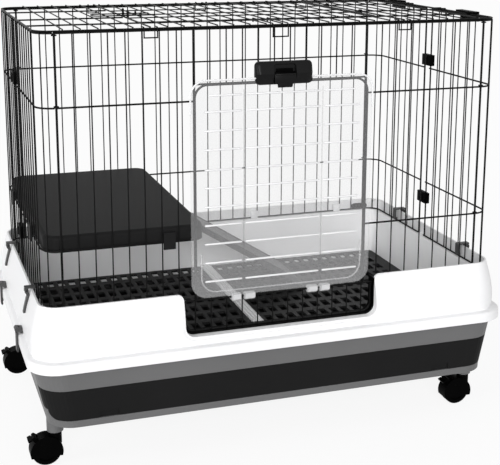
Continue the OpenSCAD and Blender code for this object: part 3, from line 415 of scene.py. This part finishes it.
def crown(z):
    """How far the housing stands out at a height, highest a little below the middle."""
    t = (z - LATCH_Z0) / (LATCH_Z1 - LATCH_Z0)
    rise = t / CROWN_PEAK if t < CROWN_PEAK else (1 - t) / (1 - CROWN_PEAK)
    return CROWN_EDGE + CROWN_RISE * min(1.0, rise) ** CROWN_POWER


def in_recess(x, z):
    """Whether a place on the front is in the slider's recess, whose upper corners are round."""
    if not (abs(x) < RECESS_HALF and RECESS_Z0 < z < RECESS_Z1):
        return False
    up = z - (RECESS_Z1 - RECESS_R)
    return up <= 0 or abs(x) <= RECESS_HALF - (RECESS_R - math.sqrt(RECESS_R ** 2 - up ** 2))


def housing():
    """The housing's crowned front as a grid of points, closed by a stepped back."""
    pts = []
    for i in range(ROWS):
        z = LATCH_Z0 + MARGIN + (LATCH_Z1 - LATCH_Z0 - 2 * MARGIN) * i / (ROWS - 1)
        over = max(0.0, LATCH_R - min(z - LATCH_Z0, LATCH_Z1 - z))
        half = LATCH_HALF - LATCH_R + math.sqrt(LATCH_R * LATCH_R - over * over)
        for k in range(COLUMNS):
            x = (-1 + 2 * k / (COLUMNS - 1)) * half
            end = min(1.0, (half - abs(x)) / END_RUN)
            out = crown(z) * (END_SHARE + (1 - END_SHARE) * math.sqrt(max(0.0, 1 - (1 - end) ** 2)))
            if in_recess(x, z):
                out = min(out, RECESS_FLOOR)
            pts.append((x, LATCH_BACK - out, z))
    n = COLUMNS
    faces = [(i * n + k, i * n + k + 1, (i + 1) * n + k + 1, (i + 1) * n + k)
             for i in range(ROWS - 1) for k in range(n - 1)]
    edge = list(range(n)) + [i * n + n - 1 for i in range(1, ROWS)]
    edge += [(ROWS - 1) * n + k for k in range(n - 2, -1, -1)] + [i * n for i in range(ROWS - 2, 0, -1)]
    start, m = len(pts), len(edge)
    pts += [(pts[i][0], LATCH_BACK if pts[i][2] > DOOR_TOP else DOOR_SIDE, pts[i][2]) for i in edge]
    faces += [(edge[k], edge[(k + 1) % m], start + (k + 1) % m, start + k) for k in range(m)]
    faces.append(tuple(range(start, start + m)))
    return pts, faces


posts = [box(x - POST_HALF, x + POST_HALF, -236, -232.6, 592.3, 597.7) for x in (-POST_X, POST_X)]
piece("latch_housing", "front_door", latch_black, [housing()] + posts,
      ["latch_body"], sharp=30)
tab = rings([[(s * w, y, z) for y, z, w in GRIP] for s in (-1, 1)])
piece("latch_slider", "latch_button", latch_black,
      [box(*SLIDER_FACE), tube(RIDGE, 1.4, soft=1), tab, box(*SLIDER_NECK)],
      ["latch_button"], bevel=0.4)
# the back of the recess is drawn jet-black, darker than the housing: painted shade
piece("latch_recess_shade", "latch_button", jet_and_shade, [box(*b) for b in RECESS_SHADE], bevel=0.3)

# ---- floor grids: plates with rows of oblong holes ----
GRID_IN, GRID_OUT, GRID_HALF_Y, GRID_Z, GRID_CORNER = 9.8, 355, 206.5, (160, 164), 2.6
HOLES_X, HOLES_Y = 16, 10
FIRST_X, PITCH_X, HOLE_X = 25, 20, 6.4  # the first hole's centre, the pitch and half a hole
FIRST_Y, PITCH_Y, HOLE_Y = -184.5, 41, 13.3


def grid(sx):
    """The plate on one side of the divider, cut off at its two outer corners."""
    xs, ys = [GRID_IN], [-GRID_HALF_Y]
    for k in range(HOLES_X):
        xs += [FIRST_X + PITCH_X * k - HOLE_X, FIRST_X + PITCH_X * k + HOLE_X]
    for k in range(HOLES_Y):
        ys += [FIRST_Y + PITCH_Y * k - HOLE_Y, FIRST_Y + PITCH_Y * k + HOLE_Y]
    xs.append(GRID_OUT)
    ys.append(GRID_HALF_Y)
    nx, ny = len(xs), len(ys)
    pts = []
    for z in GRID_Z:
        for y in ys:
            for x in xs:
                cut = GRID_CORNER if x == GRID_OUT and abs(y) == GRID_HALF_Y else 0
                pts.append((sx * (x - cut), y - math.copysign(cut, y), z))

    def at(i, j, top):
        return top * nx * ny + j * nx + i

    def solid(i, j):
        hole = i % 2 == 1 and j % 2 == 1
        return 0 <= i < nx - 1 and 0 <= j < ny - 1 and not hole

    faces = []
    for i in range(nx - 1):
        for j in range(ny - 1):
            if not solid(i, j):
                continue
            for top in (0, 1):
                faces.append((at(i, j, top), at(i + 1, j, top), at(i + 1, j + 1, top), at(i, j + 1, top)))
            sides = (
                ((i, j), (i + 1, j), (i, j - 1)),
                ((i, j + 1), (i + 1, j + 1), (i, j + 1)),
                ((i, j), (i, j + 1), (i - 1, j)),
                ((i + 1, j), (i + 1, j + 1), (i + 1, j)),
            )
            for a, b, beside in sides:
                if not solid(*beside):
                    faces.append((at(*a, 0), at(*b, 0), at(*b, 1), at(*a, 1)))
    return pts, faces


for side, sx in (("left", -1), ("right", 1)):
    piece("grid_" + side, "cage", grid_black, [grid(sx)], ["floor_grid_" + side], sharp=20)

# ---- side latches: short grooved bars over the pairs of joint wires ----
JOINT_X, UPPER_Z, LOWER_Z = 372.5, 570, 312
BAR_HALF, BAR_Y, BAR_H = 4.5, (-1, 32), 20
NUB_HALF, NUB_Y, NUB_Z = 5.6, (12, 16.5, 21), (3, 17)
for key, sx, z0 in (("lu", -1, UPPER_Z), ("ll", -1, LOWER_Z), ("ru", 1, UPPER_Z), ("rl", 1, LOWER_Z)):
    x = sx * JOINT_X
    bar = box(x - BAR_HALF, x + BAR_HALF, *BAR_Y, z0, z0 + BAR_H)
    nubs = [box(x - NUB_HALF, x + NUB_HALF, y - 1, y + 1, z0 + NUB_Z[0], z0 + NUB_Z[1]) for y in NUB_Y]
    piece("side_latch_" + key, "side_clip_" + key, jet_and_shade, [bar] + nubs,
          ["side_clip_" + key], bevel=0.8)

# ---- straps of the lip clips, short and tapered, on the tub's wall ----
LIP_X, LIP_Z = 378.5, 268
WALL_H, WALL_OUT, WALL_TURN = 80, 12.5, 110  # the wall bulges out as a sine over that many degrees
STRAP = ((259.5, 6), (252, 5.8), (244, 5.4), (236, 5), (230.5, 4.6))  # height and half width
STRAP_ROUND = ((-1, -1), (3.4, -1), (3.4, 1), (-1, 1))  # off the wall, and which side
EAR = ((2, 258), (6.4, 258), (10.2, 264.6), (10, 269), (7, 269.8), (4, 268.6), (3.8, 265))
EAR_OFF, EAR_HALF = 4.6, 1.4  # an ear's middle from the strap's, and half its thickness
straps = []
for sx in (-1, 1):
    for y in (-128.5, 123):
        rows = []
        for z, w in STRAP:
            turn = math.radians(WALL_TURN * (LIP_Z - z) / WALL_H)
            u = WALL_OUT * math.sin(turn) / math.sin(math.radians(WALL_TURN))
            rows.append([(sx * (LIP_X + u + d), y + s * w, z) for d, s in STRAP_ROUND])
        straps.append(rings(rows))
        for s in (-EAR_OFF, EAR_OFF):
            ear = [[(sx * (LIP_X + a), y + s + t, z) for a, z in EAR] for t in (-EAR_HALF, EAR_HALF)]
            straps.append(rings(ear))
piece("lip_straps", "cage", clip_grey, straps, ["rim_clip_stems"], bevel=0.5)

# ---- small parts on the back's bottom wire ----
TABS_X, TAB_YZ = ((100, 114), (277, 291)), (218.6, 225, 249, 263.5)
BUMP_ENDS, BUMP_R = ((318, 222, 255.4), (351, 222, 255.4)), 5.6
piece("back_tabs", "cage", white, [box(*ends, *TAB_YZ) for ends in TABS_X], bevel=1.0)
piece("back_bump", "cage", jet_and_shade, [tube(BUMP_ENDS, BUMP_R, 14, soft=5)])

# ---- floor, background and light ----
FLOOR_HALF, FLOOR_GREYS, FLOOR_MOTTLE = 40, (0.86, 0.9), 0.6
GLOW, GLOW_SHARE = 1.04, 0.85  # the floor's own white and its share, where it is seen directly
PAGE, WORLD_LIGHT = 1.0, 0.34  # the background where it is seen, and where it only lights
SUNS = (("key", 2.15, -15, 20, 30), ("fill", 1.3, -75, 15, 40))  # strength, then angles in degrees


def seen_rays(tree):
    """One where the ray comes straight from the camera, a gloss or a clear surface."""
    path = tree.nodes.new("ShaderNodeLightPath")
    last = path.outputs["Is Camera Ray"]
    for key in ("Is Glossy Ray", "Is Transmission Ray"):
        both = tree.nodes.new("ShaderNodeMath")
        both.operation = "MAXIMUM"
        tree.links.new(last, both.inputs[0])
        tree.links.new(path.outputs[key], both.inputs[1])
        last = both.outputs[0]
    return last


floor_corners = [(x * FLOOR_HALF, y * FLOOR_HALF, 0) for x, y in ((-1, -1), (1, -1), (1, 1), (-1, 1))]
floor_mesh = bpy.data.meshes.new("floor")
floor_mesh.from_pydata(floor_corners, [], [(0, 1, 2, 3)])
floor = bpy.data.objects.new("floor", floor_mesh)
bpy.context.scene.collection.objects.link(floor)

b = Nodes("floor")
diffuse = b.new("BsdfDiffuse")
b.put(diffuse.inputs["Color"], b.shade(b.noise(FLOOR_MOTTLE), FLOOR_GREYS))
glow = b.new("Emission", Strength=GLOW)
part = b.new("Math")
part.operation = "MULTIPLY"
b.put(part.inputs[0], seen_rays(b.tree))
part.inputs[1].default_value = GLOW_SHARE
mix = b.new("MixShader")
for socket, value in enumerate((part, diffuse, glow)):
    b.put(mix.inputs[socket], value.outputs[0])
b.put(b.out.inputs["Surface"], mix.outputs[0])
floor_mesh.materials.append(b.mat)

world = bpy.data.worlds.new("studio")
bpy.context.scene.world = world
world.use_nodes = True
wt = world.node_tree
wt.nodes.clear()
world_mix = wt.nodes.new("ShaderNodeMixShader")
wt.links.new(seen_rays(wt), world_mix.inputs[0])
for socket, strength in ((1, WORLD_LIGHT), (2, PAGE)):
    sky = wt.nodes.new("ShaderNodeBackground")
    sky.inputs["Color"].default_value = (1, 1, 1, 1)
    sky.inputs["Strength"].default_value = strength
    wt.links.new(sky.outputs[0], world_mix.inputs[socket])
wt.links.new(world_mix.outputs[0], wt.nodes.new("ShaderNodeOutputWorld").inputs["Surface"])


def sun(name, strength, azimuth, elevation, angle):
    """A soft distant lamp; azimuth 0 is in front of the cage, positive to its right."""
    data = bpy.data.lights.new(name, "SUN")
    data.energy = strength
    data.angle = math.radians(angle)
    o = bpy.data.objects.new(name, data)
    bpy.context.scene.collection.objects.link(o)
    o.rotation_euler = (math.radians(90 - elevation), 0, math.radians(azimuth))


for lamp in SUNS:
    sun(*lamp)

bpy.context.scene.view_settings.view_transform = "Standard"
